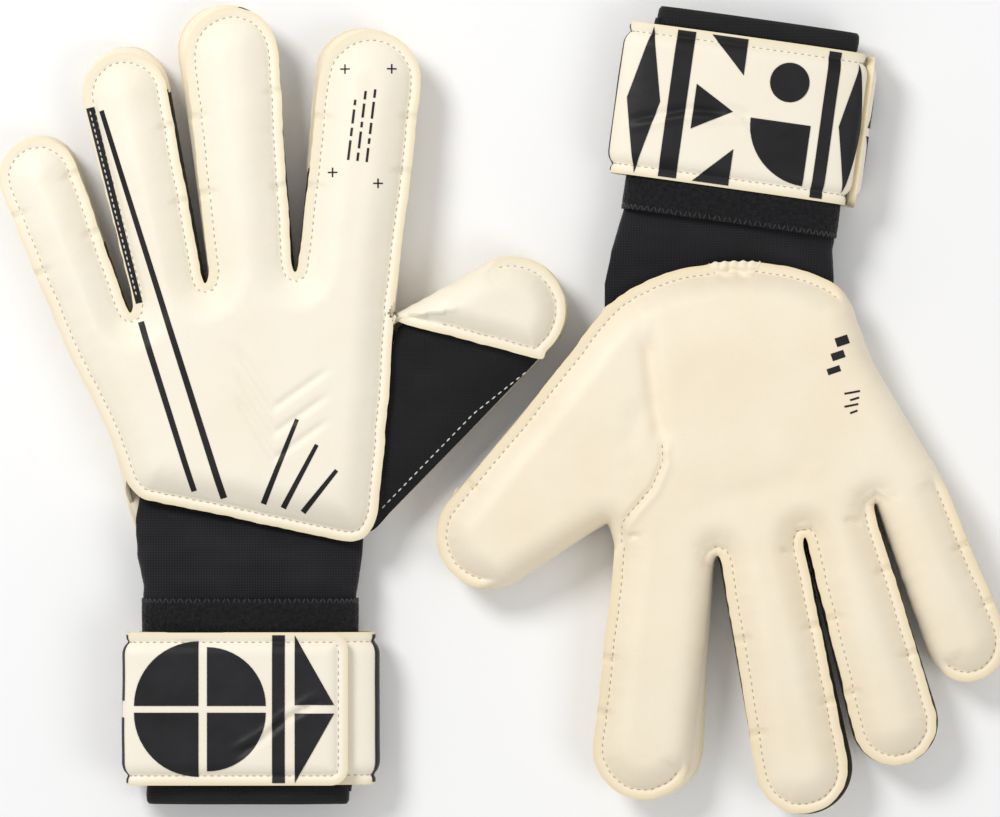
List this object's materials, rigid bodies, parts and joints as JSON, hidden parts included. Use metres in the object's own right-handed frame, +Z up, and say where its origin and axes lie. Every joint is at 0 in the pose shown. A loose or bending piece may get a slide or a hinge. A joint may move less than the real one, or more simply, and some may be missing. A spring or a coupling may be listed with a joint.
{
  "type": "goalkeeper gloves",
  "caption": "Pair of padded foam latex goalkeeper gloves lying flat, one palm down and one palm up, with bending fingers and thumbs, knit wrists and wrap-over closure straps.",
  "frame": {"origin": "middle of the pair's outline, on the surface that the pair lies on", "axes": "+Z up; +X from the left glove to the right glove; +Y along the left glove's fingers. The left glove lies palm down with its fingers towards +Y, the right one palm up with its fingers towards -Y"},
  "size_m": [0.3584, 0.2866, 0.026],
  "materials": {
    "palm_latex": "matte foam latex",
    "back_latex": "matte foam latex",
    "black_cloth": "matte knit",
    "lining_cloth": "matte knit",
    "sleeve_neoprene": "fine knit over neoprene",
    "band_pile": "brushed loop pile",
    "hem_binding": "woven binding",
    "strap_foam": "matte foam latex",
    "loop_pile": "loop tape",
    "hook_plastic": "hook tape",
    "knit_elastic": "woven elastic"
  },
  "bodies": {
    "left_hand": {"left_palm_panel": "palm_latex", "left_back_panel": "back_latex", "left_thumb_back_gusset": "black_cloth", "left_outer_side_gusset": "black_cloth", "left_thumb_root_gusset": "black_cloth", "left_thumb_web": "black_cloth", "left_wrist_lining": "lining_cloth", "left_palm_elastic": "knit_elastic"},
    "left_index": {"left_index_palm_panel": "palm_latex", "left_index_back_panel": "back_latex", "left_index_side_gusset": "black_cloth"},
    "left_middle": {"left_middle_palm_panel": "palm_latex", "left_middle_back_panel": "back_latex", "left_middle_side_gusset": "black_cloth"},
    "left_ring": {"left_ring_palm_panel": "palm_latex", "left_ring_back_panel": "back_latex", "left_ring_side_gusset": "black_cloth"},
    "left_little": {"left_little_palm_panel": "palm_latex", "left_little_back_panel": "back_latex", "left_little_side_gusset": "black_cloth"},
    "left_thumb": {"left_thumb_palm_panel": "palm_latex", "left_thumb_back_panel": "back_latex", "left_thumb_side_gusset": "black_cloth"},
    "left_cuff": {"left_wrist_sleeve": "sleeve_neoprene", "left_wrist_band": "band_pile", "left_band_hem": "hem_binding", "left_strap_wrap": "strap_foam", "left_loop_patch": "loop_pile"},
    "left_flap": {"left_strap_flap": "strap_foam", "left_hook_patch": "hook_plastic"},
    "right_hand": {"right_palm_panel": "palm_latex", "right_back_panel": "back_latex", "right_thumb_back_gusset": "black_cloth", "right_outer_side_gusset": "black_cloth", "right_thumb_root_gusset": "black_cloth", "right_thumb_web": "black_cloth", "right_wrist_lining": "lining_cloth", "right_palm_elastic": "knit_elastic"},
    "right_index": {"right_index_palm_panel": "palm_latex", "right_index_back_panel": "back_latex", "right_index_side_gusset": "black_cloth"},
    "right_middle": {"right_middle_palm_panel": "palm_latex", "right_middle_back_panel": "back_latex", "right_middle_side_gusset": "black_cloth"},
    "right_ring": {"right_ring_palm_panel": "palm_latex", "right_ring_back_panel": "back_latex", "right_ring_side_gusset": "black_cloth"},
    "right_little": {"right_little_palm_panel": "palm_latex", "right_little_back_panel": "back_latex", "right_little_side_gusset": "black_cloth"},
    "right_thumb": {"right_thumb_palm_panel": "palm_latex", "right_thumb_back_panel": "back_latex", "right_thumb_side_gusset": "black_cloth"},
    "right_cuff": {"right_wrist_sleeve": "sleeve_neoprene", "right_wrist_band": "band_pile", "right_band_hem": "hem_binding", "right_strap_wrap": "strap_foam", "right_loop_patch": "loop_pile"},
    "right_flap": {"right_strap_flap": "strap_foam", "right_hook_patch": "hook_plastic"}
  },
  "joints": [
    {"name": "left_index_knuckle", "type": "hinge", "parent": "left_hand", "child": "left_index", "pos_m": [-0.05517, 0.0454, 0], "axis": [-0.9932, 0.1167, 0], "range_deg": [0, 70]},
    {"name": "left_middle_knuckle", "type": "hinge", "parent": "left_hand", "child": "left_middle", "pos_m": [-0.08917, 0.0484, 0], "axis": [-0.9962, -0.0872, 0], "range_deg": [0, 70]},
    {"name": "left_ring_knuckle", "type": "hinge", "parent": "left_hand", "child": "left_ring", "pos_m": [-0.11798, 0.03991, 0], "axis": [-0.9763, -0.2164, 0], "range_deg": [0, 70]},
    {"name": "left_little_knuckle", "type": "hinge", "parent": "left_hand", "child": "left_little", "pos_m": [-0.14337, 0.02741, 0], "axis": [-0.9336, -0.3584, 0], "range_deg": [0, 70]},
    {"name": "left_thumb_knuckle", "type": "hinge", "parent": "left_hand", "child": "left_thumb", "pos_m": [-0.02466, 0.01375, 0], "axis": [-0.6157, 0.788, 0], "range_deg": [0, 50]},
    {"name": "left_wrist", "type": "hinge", "parent": "left_hand", "child": "left_cuff", "pos_m": [-0.08967, -0.0551, 0.013], "axis": [1, 0, 0], "range_deg": [-30, 30]},
    {"name": "left_strap_fold", "type": "hinge", "parent": "left_cuff", "child": "left_flap", "pos_m": [-0.13067, -0.1056, 0.0228], "axis": [0, -1, 0], "range_deg": [0, 160]},
    {"name": "right_index_knuckle", "type": "hinge", "parent": "right_hand", "child": "right_index", "pos_m": [0.05788, -0.0486, 0.026], "axis": [-0.9942, 0.108, 0], "range_deg": [0, 70]},
    {"name": "right_middle_knuckle", "type": "hinge", "parent": "right_hand", "child": "right_middle", "pos_m": [0.09188, -0.0496, 0.026], "axis": [-0.9833, -0.1822, 0], "range_deg": [0, 70]},
    {"name": "right_ring_knuckle", "type": "hinge", "parent": "right_hand", "child": "right_ring", "pos_m": [0.11938, -0.03961, 0.026], "axis": [-0.9636, -0.2672, 0], "range_deg": [0, 70]},
    {"name": "right_little_knuckle", "type": "hinge", "parent": "right_hand", "child": "right_little", "pos_m": [0.14337, -0.02661, 0.026], "axis": [-0.9336, -0.3584, 0], "range_deg": [0, 70]},
    {"name": "right_thumb_knuckle", "type": "hinge", "parent": "right_hand", "child": "right_thumb", "pos_m": [0.02209, -0.02073, 0.026], "axis": [-0.6691, 0.7431, 0], "range_deg": [0, 50]},
    {"name": "right_wrist", "type": "hinge", "parent": "right_hand", "child": "right_cuff", "pos_m": [0.08038, 0.0549, 0.013], "axis": [1, 0, 0], "range_deg": [-30, 30]},
    {"name": "right_strap_fold", "type": "hinge", "parent": "right_cuff", "child": "right_flap", "pos_m": [0.12634, 0.09932, 0.0032], "axis": [-0.1392, -0.9903, 0], "range_deg": [0, 160]},
    {"name": "lift_right_glove", "type": "slide", "parent": "left_hand", "child": "right_hand", "axis": [0, 0, 1], "range_m": [0, 0.2]}
  ]
}
